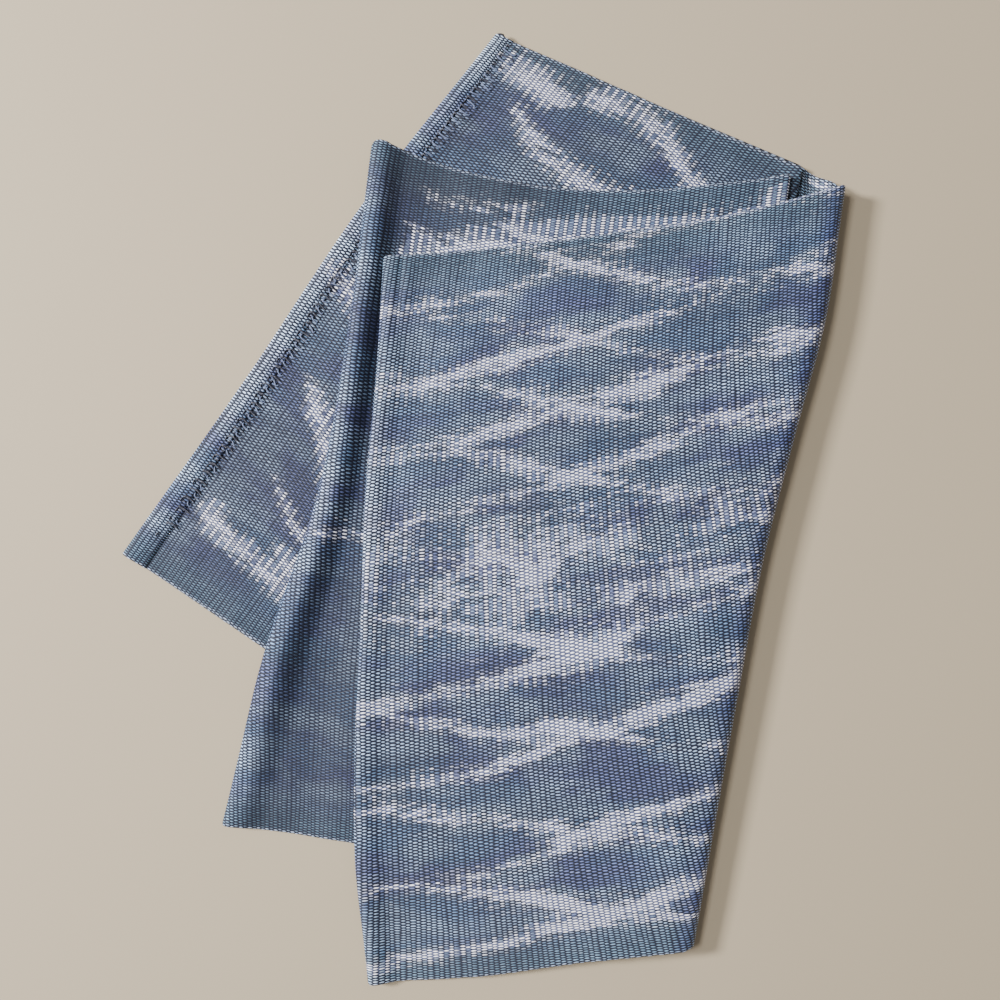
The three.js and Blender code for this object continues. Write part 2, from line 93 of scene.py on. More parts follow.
# Heights of the middle of the cloth above the table, one row for each section, which is `at` a
# share of the width from the top selvedge (0) to the bottom one (1).
COLUMNS = ["at", "below", "crown", "valley", "valley_at", "near", "far", "shoulder", "end", "landing"]
BACK_SECTIONS = [
    [0, 0.6, 3.4, 2.5, 20, 2.4, 2.7, 3.2, 4.6, 2.2],
    [0.25, 0.6, 3.4, 2.5, 20, 2.8, 2.4, 2.7, 4.4, 2.2],
    [0.5, 0.6, 3.6, 2.4, 22, 2.4, 2.4, 2.7, 4.4, 2.2],
    [0.75, 0.6, 3.5, 2.7, 24, 2.4, 2.4, 2.7, 4.4, 2.2],
    [1, 0.6, 3.3, 2.4, 20, 2.4, 2.4, 2.7, 4.4, 2.2],
]
MIDDLE_SECTIONS = [
    [0, 6.8, 12.6, 8, 18, 5.8, 5.6, 7.6, 9.6, 6.8],
    [0.1, 6.8, 14, 7.9, 17, 6.8, 6.8, 7.8, 9.8, 6.8],
    [0.2, 5.8, 13.2, 6.8, 15, 6.9, 6.9, 7.6, 10, 6.8],
    [0.35, 4.7, 12.8, 5.8, 16, 7, 7, 7.4, 10.4, 7],
    [0.55, 4.6, 12.2, 5.6, 20, 7, 7, 7.4, 10.4, 7],
    [0.78, 4.4, 10.4, 4.9, 23, 6.6, 7, 7.4, 10.4, 7],
    [0.88, 1, 7, 3.6, 22, 5.2, 6.8, 7.2, 9.6, 7],
    [1, 0.7, 6.2, 3, 22, 4.2, 6, 7, 9.1, 6.8],
]
FRONT_SECTIONS = [
    [0, 9.6, 13, 10.4, 16, 9.7, 10.6, 14.2, 15.6, 8],
    [0.08, 9.7, 14.6, 12, 15, 12.2, 13.4, 16.4, 17, 1.6],
    [0.3, 9.3, 14.7, 12.6, 15, 12.6, 14.4, 16.8, 17, 0.6],
    [0.5, 9.2, 14.2, 12.3, 16, 12.6, 14.2, 16.8, 17, 0.6],
    [0.62, 8.8, 13.2, 11.4, 16, 12, 13.8, 16.4, 16.4, 0.6],
    [0.74, 8, 11.8, 9.8, 15, 10.8, 13, 15.6, 15.6, 0.6],
    [0.83, 7.5, 10.8, 8.6, 15, 9.4, 12, 14.8, 14.8, 0.6],
    [0.93, 0.9, 7.2, 4.8, 15, 6.8, 11.2, 13.9, 13.9, 0.6],
    [1, 0.6, 6.4, 3.6, 15, 4.9, 9.2, 12.4, 12.8, 0.6],
]
# Shares of the reach at which the columns near, far and shoulder give the height.
STATIONS = {"back": (0.35, 0.7, 0.92), "middle": (0.3, 0.65, 0.93), "front": (0.33, 0.66, 0.88)}

# Ways in which the cloth leaves below a fold, at the top selvedge and at the bottom one. The fold
# is on the left (0) or on the right (1).
AWAY = {
    ("front", 0): ((1, 0.08), (1, 0.3)),
    ("front", 1): ((-0.8, 0.6), (-0.83, 0.56)),
    ("middle", 0): ((1, -0.42), (1, 0.02)),
    ("middle", 1): ((-1, -0.25), (-1, 0.15)),
    ("back", 1): ((-1, 0.2), (-1, 0.6)),
}

# Creases: from and to (mm from the left fold, mm from the top selvedge), half width, and depth,
# below 0 for a trough.
BACK_CREASES = [
    ((60, 40), (150, 70), 9, 0.5),
    ((40, 120), (44, 200), 8, -0.4),
    ((70, 230), (95, 300), 10, 0.45),
    ((30, 262), (62, 306), 7, -0.35),
    ((150, 10), (170, 40), 6, 0.5),
]
MIDDLE_CREASES = [
    ((66, 4), (72, 60), 6, 0.6),
    ((84, 8), (80, 52), 7, -0.5),
    ((38, -10), (28, 80), 15, -1.4),
    ((30, 120), (34, 230), 9, -0.35),
    ((44, 60), (52, 150), 9, 0.4),
    ((34, 250), (40, 345), 10, -0.9),
    ((180, 20), (195, 60), 7, 0.5),
    ((9, 14), (12, 330), 7, 1.4),
]
FRONT_CREASES = [
    ((9.5, -4), (8, 40), 1.5, -1.2),
    ((14, -4), (12, 30), 3, 0.7),
    ((22, 2), (48, 10), 9, -1.3),
    ((20, 20), (22, 90), 5, -0.5),
    ((30, 60), (90, 95), 10, 0.7),
    ((60, 150), (170, 120), 12, -0.8),
    ((110, 200), (190, 240), 12, 0.8),
    ((40, 250), (120, 235), 10, -0.8),
    ((150, 290), (170, 350), 9, 0.8),
    ((60, 320), (100, 352), 9, -0.7),
    ((196, 30), (188, 120), 10, -0.7),
    ((24, 150), (30, 230), 9, 0.7),
]
CREASE_ENDS = (-0.15, 0.25, 0.75, 1.15)  # shares of a crease's length between which it fades

# Small rises of the top layer: cell along the cloth, cell across it, height, and own seed.
SWELLS = [(34, 50, 0.5, 0), (12, 19, 0.2, 1)]
PUCKERS = [(9, 30, 0.33, 2), (4.5, 20, 0.165, 3)]  # only at the selvedges
PUCKER_BAND = 11
RELIEF_ENDS = {"left": 5, "right": 14}  # widths beside the folds over which the rises fade
NOISE_CELLS = 64


# ---- form of the cloth


def curve(places, levels, x, flat_ends=False):
    """Smooth curve through (places, levels), straight on past its ends, or level with flat_ends."""
    places = np.asarray(places, float)
    levels = np.asarray(levels, float)
    tangents = np.empty_like(levels)
    tangents[1:-1] = (levels[2:] - levels[:-2]) / (places[2:] - places[:-2])
    tangents[0] = 0 if flat_ends else (levels[1] - levels[0]) / (places[1] - places[0])
    tangents[-1] = 0 if flat_ends else (levels[-1] - levels[-2]) / (places[-1] - places[-2])
    x = np.asarray(x, float)
    inside = np.clip(x, places[0], places[-1])
    a = np.clip(np.searchsorted(places, inside, side="right") - 1, 0, len(places) - 2)
    span = places[a + 1] - places[a]
    rise = levels[a + 1] - levels[a]
    f = (inside - places[a]) / span
    bend = (tangents[a] * span - rise) * (1 - f) + (rise - tangents[a + 1] * span) * f
    past = tangents[0] * np.minimum(x - places[0], 0) + tangents[-1] * np.maximum(x - places[-1], 0)
    return levels[a] + rise * f + f * (1 - f) * bend + past


def smooth(low, high, x):
    f = np.clip((x - low) / (high - low), 0, 1)
    return f * f * (3 - 2 * f)


def band(x, ends):
    """Smoothly 1 inside a band and 0 outside: the ends are its start, both ends of its full part,
    and its stop."""
    start, full, last, stop = ends
    return smooth(start, full, x) * smooth(stop, last, x)


def bell(x, half):
    return np.exp(-((x / half) ** 2))


def mix(a, b, f):
    return a + (b - a) * f


def unit(vectors):
    return vectors / np.linalg.norm(vectors, axis=-1, keepdims=True)


def along(outline):
    """The points of an outline as a function of the share of its length."""
    places = np.linspace(0, 1, len(outline))
    xs, ys = zip(*outline)
    return lambda share: np.stack([curve(places, xs, share), curve(places, ys, share)], -1)


def plan_of(outlines):
    """Plan of a stretch: s runs across the folds, t across the width."""
    left, right, top, bottom = (along(outlines[side]) for side in ("left", "right", "top", "bottom"))
    corners = [left(0.0), right(0.0), left(1.0), right(1.0)]

    def plan(s, t):
        s, t = (np.asarray(a, float) for a in np.broadcast_arrays(s, t))
        across, down = s[..., None], t[..., None]
        edges = mix(top(s), bottom(s), down) + mix(left(t), right(t), across)
        upper = mix(corners[0], corners[1], across)
        return edges - mix(upper, mix(corners[2], corners[3], across), down)

    return plan


def plan_below(name, side):
    """Plan of the cloth below a fold of a stretch, at lengths d from the edge of the fold."""
    plan, away = plans[name], AWAY[name, side]

    def below(d, t):
        way = mix(np.array(away[0], float), np.array(away[1], float), np.asarray(t)[..., None])
        return plan(side, t) + unit(way) * np.asarray(d)[..., None]

    return below


def distance(a, b):
    return np.linalg.norm(a - b, axis=-1)


plans = {"back": plan_of(BACK), "middle": plan_of(MIDDLE), "front": plan_of(FRONT)}
landing_plan = plan_below("front", 1)


def base_length(t):
    """Length of the bottom layer, from the joined edge to the landing of the front stretch."""
    return distance(plans["back"](0, t), landing_plan(LANDING + SEAM_GAP, t))


def base_plan(d, t):
    share = np.asarray(d / base_length(t))[..., None]
    return mix(plans["back"](0, t), landing_plan(LANDING + SEAM_GAP, t), share)


def turned_under(name, side):
    """Plan and length of cloth that only turns under at a fold."""
    return plan_below(name, side), lambda t: TURN_UNDER


class Stretch:
    """One stretch of the scarf that shows, with its two folds."""

    def __init__(self, name, sections, creases, left, right):
        self.name = name
        self.plan = plans[name]
        self.columns = dict(zip(COLUMNS, zip(*sections)))
        self.creases = creases
        self.left_plan, self.left_length = left
        self.right_plan, self.right_length = right
        self.width = float(distance(self.plan(0.5, 0.0), self.plan(0.5, 1.0)))

    def section(self, t):
        """The sizes of one row: heights, reach from fold to fold, and where the flat of it is."""
        sizes = {}
        for key in COLUMNS[1:]:
            level = curve(self.columns["at"], self.columns[key], min(max(t, 0), 1))
            sizes[key] = max(float(level), CLOTH / 2)
        sizes["reach"] = float(distance(self.plan(0.0, t), self.plan(1.0, t)))
        sizes["left_radius"] = (sizes["crown"] - sizes["below"]) / 2
        sizes["right_radius"] = (sizes["end"] - sizes["landing"]) / 2
        sizes["from"] = CLOTH / 2 + sizes["left_radius"]
        sizes["to"] = sizes["reach"] - CLOTH / 2 - sizes["right_radius"]
        return sizes

    def top_height(self, size, d):
        """Height of the top layer of a section at lengths d from its left edge."""
        stations = [share * size["reach"] for share in STATIONS[self.name]]
        places = [size["from"], size["valley_at"], *stations, size["to"]]
        levels = [size[key] for key in ("crown", "valley", "near", "far", "shoulder", "end")]
        return curve(places, levels, np.clip(d, size["from"], size["to"]), True)


STRETCHES = {
    "back": Stretch(
        "back", BACK_SECTIONS, BACK_CREASES, (base_plan, base_length), turned_under("back", 1),
    ),
    "middle": Stretch(
        "middle", MIDDLE_SECTIONS, MIDDLE_CREASES, turned_under("middle", 0), turned_under("middle", 1),
    ),
    "front": Stretch(
        "front", FRONT_SECTIONS, FRONT_CREASES, turned_under("front", 0),
        (landing_plan, lambda t: LANDING),
    ),
}


def value_noise(x, y, seed):
    """Smooth noise from -1 to 1 with a cell of 1, which repeats after NOISE_CELLS of them."""
    cells = np.random.default_rng(seed).uniform(-1, 1, (NOISE_CELLS, NOISE_CELLS))
    left, top = np.floor(x).astype(int), np.floor(y).astype(int)
    right, bottom = (left + 1) % NOISE_CELLS, (top + 1) % NOISE_CELLS
    fx, fy = smooth(0, 1, x - left), smooth(0, 1, y - top)
    left, top = left % NOISE_CELLS, top % NOISE_CELLS
    upper = mix(cells[left, top], cells[right, top], fx)
    return mix(upper, mix(cells[left, bottom], cells[right, bottom], fx), fy)


def noise_sum(x, y, layers, seed):
    """Sum of layers of noise, each with its cell along x, cell along y, height and own seed."""
    return sum(high * value_noise(x / long, y / wide, seed + own) for long, wide, high, own in layers)


def relief(stretch, d, y, seed):
    """Small rises and dips of the top layer, d from the left fold and y from the top selvedge."""
    edge = np.minimum(y, stretch.width - y)
    puckers = noise_sum(d, y, PUCKERS, seed) * bell(edge, PUCKER_BAND)
    rise = noise_sum(d, y, SWELLS, seed) + puckers
    for start, end, half, depth in stretch.creases:
        start, end = np.array(start, float), np.array(end, float)
        line = end - start
        f = ((d - start[0]) * line[0] + (y - start[1]) * line[1]) / (line @ line)
        inside = np.clip(f, 0, 1)
        away = np.hypot(d - start[0] - line[0] * inside, y - start[1] - line[1] * inside)
        rise = rise + depth * band(f, CREASE_ENDS) * bell(away, half)
    lowest = LOWEST[stretch.name]
    return np.where(rise < 0, lowest * np.tanh(rise / lowest), rise)


def rows_across(width):
    """Shares of the width at which a stretch has its rows, closer at the selvedges."""
    first = np.array(SELVEDGE_ROWS)
    middle = width - 2 * first[-1]
    steps = round(middle / GRID_STEP)
    inner = first[-1] + middle * np.arange(1, steps) / steps
    return np.concatenate([first, inner, (width - first)[::-1]]) / width


def row_of(stretch, t, steps, seed):
    """Points of one row, and for each its length from the left fold along the cloth."""
    size = stretch.section(t)
    corner = ROUND_CORNER[stretch.name]
    short = max(corner - t * stretch.width, 0)
    begin = size["from"] + corner - math.sqrt(corner**2 - short**2)
    end, reach = size["to"], size["reach"]
    left, right = size["left_radius"], size["right_radius"]
    plan = stretch.plan
    points, lengths = [], []

    def add(places, heights, measured):
        heights = np.broadcast_to(heights, measured.shape)
        points.append(np.column_stack([places, heights]))
        lengths.append(measured)

    share = np.linspace(1, 0, steps["left"] + 1)[:-1]
    d = mix(begin, stretch.left_length(t), share)
    add(stretch.left_plan(d, t), size["below"], begin - math.pi * left - (d - begin))

    share = np.linspace(0, 1, steps["left_fold"] + 1)
    angle = math.pi * share
    d = begin - left * np.sin(angle)
    places = mix(stretch.left_plan(d, t), plan(d / reach, t), share[:, None])
    add(places, size["below"] + left * (1 - np.cos(angle)), begin - left * (math.pi - angle))

    d = mix(begin, end, np.linspace(0, 1, steps["flat"] + 2)[1:-1])
    weight = band(d, (begin, begin + RELIEF_ENDS["left"], end - RELIEF_ENDS["right"], end))
    sway = relief(stretch, d, t * stretch.width, seed)
    add(plan(d / reach, t), stretch.top_height(size, d) + sway * weight, d)

    share = np.linspace(0, 1, steps["right_fold"] + 1)
    angle = math.pi * share
    d = reach - end - right * np.sin(angle)
    places = mix(plan(1 - d / reach, t), stretch.right_plan(d, t), share[:, None])
    add(places, size["landing"] + right * (1 + np.cos(angle)), end + right * angle)

    share = np.linspace(0, 1, steps["right"] + 1)[1:]
    d = mix(reach - end, stretch.right_length(t), share)
    rest = smooth(0, LANDED, share) if stretch.name == "front" else 0
    height = mix(size["landing"], CLOTH / 2, rest)
    measured = end + right * math.pi + d - (reach - end)
    add(stretch.right_plan(d, t), height, measured)
    return np.concatenate(points), np.concatenate(lengths)


def grid_of(stretch, steps, seed):
    """Middle of the cloth as a grid of points, with each point's length and share of the width."""
    shares = rows_across(stretch.width)
    points, lengths = map(np.stack, zip(*(row_of(stretch, t, steps, seed) for t in shares)))
    points[..., :2] -= CENTRE
    return points, lengths, np.broadcast_to(shares[:, None], lengths.shape)


def outward_of(points):
    return unit(np.cross(np.gradient(points, axis=0), np.gradient(points, axis=1)))


def thinned(stretch, shares):
    """Half the cloth's thickness, which goes round at the selvedges."""
    edge = np.minimum(shares, 1 - shares) * stretch.width
    f = np.clip(edge / ROUND_EDGE, 0, 1)
    return CLOTH / 2 * np.sqrt(np.clip(1 - (1 - f) ** 2, BLUNT, 1))


# ---- making of meshes


def quads(a, b, c, d):
    return np.stack([a, b, c, d], -1).reshape(-1, 4)


def two_sides(outer, inner):
    """Quads over the outer grid and under the inner one."""
    return [
        quads(outer[:-1, :-1], outer[1:, :-1], outer[1:, 1:], outer[:-1, 1:]),
        quads(inner[:-1, :-1], inner[:-1, 1:], inner[1:, 1:], inner[1:, :-1]),
    ]


def shell_faces(rows, columns):
    """Quads of a closed shell between an outer and an inner grid, given one after the other."""
    outer, inner = np.arange(2 * rows * columns).reshape(2, rows, columns)
    rim = [
        quads(outer[:-1, 0], inner[:-1, 0], inner[1:, 0], outer[1:, 0]),
        quads(outer[:-1, -1], outer[1:, -1], inner[1:, -1], inner[:-1, -1]),
        quads(outer[0, :-1], outer[0, 1:], inner[0, 1:], inner[0, :-1]),
        quads(outer[-1, :-1], inner[-1, :-1], inner[-1, 1:], outer[-1, 1:]),
    ]
    return np.concatenate(two_sides(outer, inner) + rim)


def mesh_object(name, points, faces, material, attributes=None):
    """A smooth mesh object from points in millimetres."""
    mesh = bpy.data.meshes.new(name)
    mesh.from_pydata((points * MM).tolist(), [], faces.tolist())
    mesh.shade_smooth()
    for key, values in (attributes or {}).items():
        kind = "FLOAT" if values.ndim == 1 else "FLOAT_VECTOR"
        field = "value" if values.ndim == 1 else "vector"
        attribute = mesh.attributes.new(key, kind, "POINT")
        attribute.data.foreach_set(field, values.astype(np.float32).ravel())
    piece = bpy.data.objects.new(name, mesh)
    bpy.context.scene.collection.objects.link(piece)
    mesh.materials.append(material)
    return piece


def shell_object(name, points, half, material, attributes):
    """A closed shell of cloth round a grid of points, half thick on each side."""
    outward = outward_of(points) * half[..., None]
    both = np.concatenate([(points + outward).reshape(-1, 3), (points - outward).reshape(-1, 3)])
    doubled = {
        key: np.stack([values, values]).reshape(len(both), -1).squeeze()
        for key, values in attributes.items()
    }
    return mesh_object(name, both, shell_faces(*points.shape[:2]), material, doubled)


# ---- weave and dyed streaks


LEAN = {"from": -120, "over": 250, "share": 0.075}  # it grows with the square of the height
THREAD_SAMPLES = 800


def lean(y):
    """How far the weft threads of the upper stretches have leant, at a height y in the plan."""
    return LEAN["share"] * np.maximum(y - LEAN["from"], 0) ** 2 / LEAN["over"]


def thread_numbers(across, width):
    """Number of the warp thread at a place across the width. They lie closer at the selvedges."""
    places = np.linspace(0, width, THREAD_SAMPLES)
    edge = np.minimum(places, width - places)
    spacing = mix(END["middle"], END["selvedge"], bell(edge, END["band"]))
    numbers = np.concatenate([[0], np.cumsum(np.diff(places) / spacing[1:])])
    return np.interp(across, places, numbers)


def warp_places(stretch, lengths, shares):
    """Place along the warp and across it, in millimetres, for every point of a stretch."""
    across = shares * stretch.width
    if stretch.name == "back":
        return lengths, across
    flat = stretch.plan(lengths / stretch.section(0.5)["reach"], shares)
    return flat[..., 0] - lean(flat[..., 1]), across


# The two sets of warp threads were tied and dyed apart, so their streaks differ: the even threads
# have wider ones, and the odd ones wander away from them a little.
WARPS = {
    "even": {"widen": 1.12, "add": 0.5, "cloud": 0.6, "spread": 1.3, "seed": 0},
    "odd": {"widen": 0.9, "add": -0.8, "cloud": -2.0, "spread": 0.62, "seed": 400},
}

BUNDLE = 4  # threads that were tied together for the dye, so the streaks' edges have steps
OUTSIDE = -6.0  # depth far outside every streak

# Where pairs of streaks cross on the front stretch, from the top selvedge down, with the strength
# of each pair. The two streaks of a pair part and meet again like the sides of a row of diamonds.
CROSSINGS = [
    (12, 0.7), (51, 1.0), (86, 0.9), (118, 0.8), (207, 0.9), (250, 1.0), (300, 0.6), (340, 0.9),
]
CROSSING_AT = 42
DIAMOND = {"half_length": 98, "half_height": 21, "uneven": 0.25, "cycle": 3.1, "straight": 0.7}
FRONT_STREAK = {"half": 3.4, "least": 0.55, "fade": 1.1, "swell": 0.8, "swell_reach": 0.3}
CLOUD = {"at": 165, "reach": 36, "blots": (23, 13, 3.2, 0), "specks": (8, 6, 1.8, 1)}
DYE_SEEDS = {"front": 50, "streak": 41, "cloud": 91}

# Slow changes along the warp: cell, height and own seed of a wave that both sets of threads share,
# and of one that each set has for itself.
WANDER = ((43, 4.5, 0), (21, 1.4, 7))
FADE = ((41, 1.0, 30), (17, 0.5, 31))
STREAK_WANDER = ((26, 2.4, 0), (15, 1.4, 5))
STREAK_WIDTH = {"cell": 19, "change": 0.5}
STREAK_ENDS = {"beyond": 12, "within": 8}


def wave(x, key, seed):
    return value_noise(x, np.full_like(x, key), seed)


def slow_change(x, waves, key, seed, warp):
    return sum(
        height * wave(x / cell, key, seed + own_seed + warp_seed)
        for (cell, height, own_seed), warp_seed in zip(waves, (0, warp["seed"]))
    )


def front_dye(x, y, warp):
    """Depth of each point of the front stretch inside its pale streaks, below 0 outside them."""
    depth = np.full(x.shape, OUTSIDE)
    f = (x - CROSSING_AT) / DIAMOND["half_length"]
    turn = np.sin(f * math.pi / 2)
    bow = mix(turn, 2 / math.pi * np.arcsin(turn), DIAMOND["straight"])
    swell = FRONT_STREAK["swell"] * bell(f, FRONT_STREAK["swell_reach"])
    for i, (middle, strength) in enumerate(CROSSINGS):
        for side in (-1, 1):
            seed = DYE_SEEDS["front"] + 2 * i + (side > 0)
            wander = slow_change(x, WANDER, i + 0.5, seed, warp)
            uneven = DIAMOND["uneven"] * math.sin(DIAMOND["cycle"] * seed)
            centre = middle + side * DIAMOND["half_height"] * (1 + uneven) * bow + wander
            fade = slow_change(x, FADE, 0.5, seed, warp)
            share = FRONT_STREAK["least"] + FRONT_STREAK["fade"] * fade + swell
            half = FRONT_STREAK["half"] * strength * warp["widen"] * share
            depth = np.maximum(depth, half + warp["add"] - np.abs(y - centre))
    zone = np.exp(-(((y - CLOUD["at"]) / CLOUD["reach"]) ** 4))
    speckle = noise_sum(x, y, [CLOUD["blots"]], DYE_SEEDS["cloud"])
    speckle = speckle + noise_sum(x, y, [CLOUD["specks"]], DYE_SEEDS["cloud"] + warp["seed"])
    return np.maximum(depth, zone * (speckle + warp["cloud"]) + OUTSIDE * (1 - zone))


def streak(x, y, line, half, warp):
    """Depth of (x, y) inside a streak that follows the points of a line, in millimetres."""
    xs, ys = zip(*line)
    beyond, within = STREAK_ENDS["beyond"], STREAK_ENDS["within"]
    inside = band(x, (xs[0] - beyond, xs[0] + within, xs[-1] - within, xs[-1] + beyond))
    wander = slow_change(x, STREAK_WANDER, ys[0], DYE_SEEDS["streak"], warp)
    width_seed = DYE_SEEDS["streak"] + warp["seed"] + 1
    change = STREAK_WIDTH["change"] * wave(x / STREAK_WIDTH["cell"], ys[0] + 0.5, width_seed)
    width = half * (1 + change) + warp["add"]
    return width * inside - np.abs(y - curve(xs, ys, x) - wander) + OUTSIDE * (1 - inside)


# Streaks of the other two stretches: points along the middle of each, and its half width.
MIDDLE_STREAKS = [
    ([(-60, 52), (-20, 38), (30, 29), (80, 24), (150, 15)], 8.4),
    ([(-10, 22), (40, 40), (100, 52), (150, 48)], 6),
    ([(-90, 190), (-60, 186), (-20, 196), (60, 182)], 1.2),
    ([(-54, 13), (-30, 16), (6, 12)], 0.9),
    ([(-60, 33), (-40, 35), (-24, 31)], 1.0),
]
BACK_STREAKS = [
    ([(10, 12), (30, 18), (52, 15)], 6.5),
    ([(54, 9), (88, 8), (112, 20), (146, 38)], 4.8),
    ([(30, 34), (60, 46), (110, 52)], 5.2),
    ([(26, 212), (45, 228), (62, 246), (80, 262)], 8.0),
    ([(18, 292), (40, 299), (64, 304), (90, 312)], 5.2),
    ([(60, 290), (82, 298), (110, 296)], 5.6),
    ([(90, 150), (130, 138), (190, 150)], 4.0),
    ([(20, 130), (46, 124), (70, 132)], 3.8),
    ([(4, 150), (20, 156), (40, 168)], 5.0),
    ([(40, 262), (70, 282), (100, 290)], 3.6),
]
SOFT = {"back": 0.65, "middle": 0.75}  # how sharply the edges of those streaks turn pale
OUTER_DROP = {"from": 0.5, "to": 6, "by": 3.5}  # keeps the cloth between them free of pale specks


def dye_of(stretch, x, y, warp):
    if stretch.name == "front":
        return front_dye(x, y, warp)
    lines = MIDDLE_STREAKS if stretch.name == "middle" else BACK_STREAKS
    depth = np.full(x.shape, OUTSIDE)
    for line, half in lines:
        depth = np.maximum(depth, streak(x, y, line, half * warp["spread"], warp))
    drop = OUTER_DROP["by"] * smooth(OUTER_DROP["from"], OUTER_DROP["to"], -depth)
    return SOFT[stretch.name] * depth - drop


# ---- materials


def linear(*srgb):
    """Linear colour from 8-bit sRGB values."""
    channels = [c / 255 for c in srgb]
    return [c / 12.92 if c <= 0.04045 else ((c + 0.055) / 1.055) ** 2.4 for c in channels] + [1]


class Graph:
    """Short ways to add and join the nodes of a material."""

    def __init__(self, name):
        self.material = bpy.data.materials.new(name)
        self.material.use_nodes = True
        self.nodes = self.material.node_tree.nodes
        self.links = self.material.node_tree.links
        self.shader = self.nodes["Principled BSDF"]

    def put(self, value, socket):
        if isinstance(value, bpy.types.NodeSocket):
            self.links.new(value, socket)
        else:
            socket.default_value = value

    def node(self, kind, values, places=range(9), **settings):
        """A new node with its settings, whose inputs at the given places get the values."""
        node = self.nodes.new(f"ShaderNode{kind}")
        for key, setting in settings.items():
            setattr(node, key, setting)
        for value, place in zip(values, places):
            self.put(value, node.inputs[place])
        return node

    def math(self, operation, *values):
        return self.node("Math", values, operation=operation).outputs[0]

    def plus(self, a, b):
        return self.math("ADD", a, b)

    def minus(self, a, b):
        return self.math("SUBTRACT", a, b)

    def times(self, a, b):
        return self.math("MULTIPLY", a, b)

    def blend(self, factor, a, b, kind="MIX"):
        settings = {"data_type": "RGBA", "blend_type": kind}
        return self.node("Mix", (factor, a, b), (0, 6, 7), **settings).outputs[2]

    def pick(self, factor, a, b):
        """a where the factor is 0, and b where it is 1."""
        return self.node("Mix", (factor, a, b), (0, 2, 3)).outputs[0]

    def vector(self, x, y, z=0.0):
        return self.node("CombineXYZ", (x, y, z)).outputs[0]

    def parts(self, vector):
        return self.node("SeparateXYZ", [vector]).outputs

    def noise(self, vector, scale, detail=2.0):
        places = ("Vector", "Scale", "Detail")
        return self.node("TexNoise", (vector, scale, detail), places).outputs["Fac"]

    def patches(self, name, x, y):
        """One of the noises in PATCHES, x along the warp and y across it."""
        along_x, along_y, detail = PATCHES[name]
        return self.noise(self.vector(self.times(x, along_x), self.times(y, along_y)), 1.0, detail)

    def change(self, name, value):
        """One of the smooth steps in CHANGES."""
        start, complete, strength = CHANGES[name]
        values = (value, start, complete, 0.0, strength)
        return self.node("MapRange", values, interpolation_type="SMOOTHSTEP").outputs[0]

    def chance(self, vector):
        return self.node("TexWhiteNoise", [vector], noise_dimensions="3D").outputs["Value"]

    def attribute(self, name, output="Fac"):
        return self.node("Attribute", [], attribute_name=name).outputs[output]

    def position(self):
        return self.node("TexCoord", []).outputs["Object"]

    def bump(self, height, strength, length):
        node = self.node("Bump", (strength, length, height), ("Strength", "Distance", "Height"))
        self.links.new(node.outputs["Normal"], self.shader.inputs["Normal"])

    def set(self, **values):
        for key, value in values.items():
            self.put(value, self.shader.inputs[key.replace("_", " ")])


BLUE = linear(86, 114, 151)
BLUE_VIOLET = linear(80, 90, 136)
BLUE_GREEN = linear(86, 113, 137)
SKY = linear(134, 158, 188)
PALE = linear(248, 247, 255)
# pale painted sheen, laid on where the painted light runs high
PAINTED_SHEEN = linear(150, 164, 184)
# violet painted shade where the right fold rolls away from the light
SHADED_RIM_VIOLET = linear(62, 72, 128)
SELVEDGE = linear(160, 176, 206)
# GAP and PALE_GAP: partly the dark weft and sunken threads, partly painted shade of the recesses
# between the floats
GAP = linear(6, 12, 32)
PALE_GAP = linear(66, 72, 102)
NAVY = linear(12, 16, 38)
SLATE = linear(64, 76, 106)
LIFT = 0.6  # rise of a warp float at the weft thread that it crosses
ROUND = 2.4  # fall of a warp float from its middle to the next warp thread
UNEVEN = {"picks": 1.1, "threads": 2.2}  # how many places the weft and warp threads wander

# Noises of the cloth: cells per mm along the warp, cells per mm, thread or bundle across it, and
# detail.
PATCHES = {
    "drift": (0.24, 0.03, 2.0),
    "sway": (0.07, 0.1, 2.0),
    "tint": (0.011, 0.03, 3.0),
    "wash": (0.025, 0.055, 3.0),
    "stripe": (0.015, 0.23, 1.0),
    "tied": (0.05, 0.77, 1.0),
    "loose": (0.07, 0.61, 1.0),
}

# Smooth changes of colour: the values at which each starts and is complete, and its strength.
CHANGES = {
    "tint": (0.42, 0.58, 1.0),
    "wash": (0.44, 0.62, 0.85),
    "towards_selvedge": (26.0, 4.0, 1.0),
    # painted sheen, from the painted light
    "painted_sheen": (1.0, 1.7, 0.6),
    "dyed": (-1.3, 1.5, 1.0),
    "halo": (-5.0, 0.5, 0.32),
    "pale_gap": (0.5, 1.0, 1.0),
    "selvedge": (1.8, 0.7, 1.0),
    "out_of_gap": (-0.03, 0.43, 1.0),
}
SHADES = {"least": 0.37, "stripe": 0.7, "float": 0.45}  # brightness of the blue, and what adds to it
RAGGED = {"tied": 7.5, "loose": 5.0, "float": 2.2}  # mm that bundles, threads and floats differ by
PALE_FLOAT = (0.22, 0.78)  # strength of the dye: a float's chance times this, plus this
EDGE_FLOAT = (0.5, 0.35)  # the same for the pale selvedge
SHINE = {"Roughness": 0.6, "Specular_IOR_Level": 0.3, "Sheen_Weight": 0.1, "Sheen_Roughness": 0.4}
BUMP = {"strength": 0.8, "length": 0.0003}
THREAD_KEY = 7.0  # tells the chance of a whole thread from that of its floats


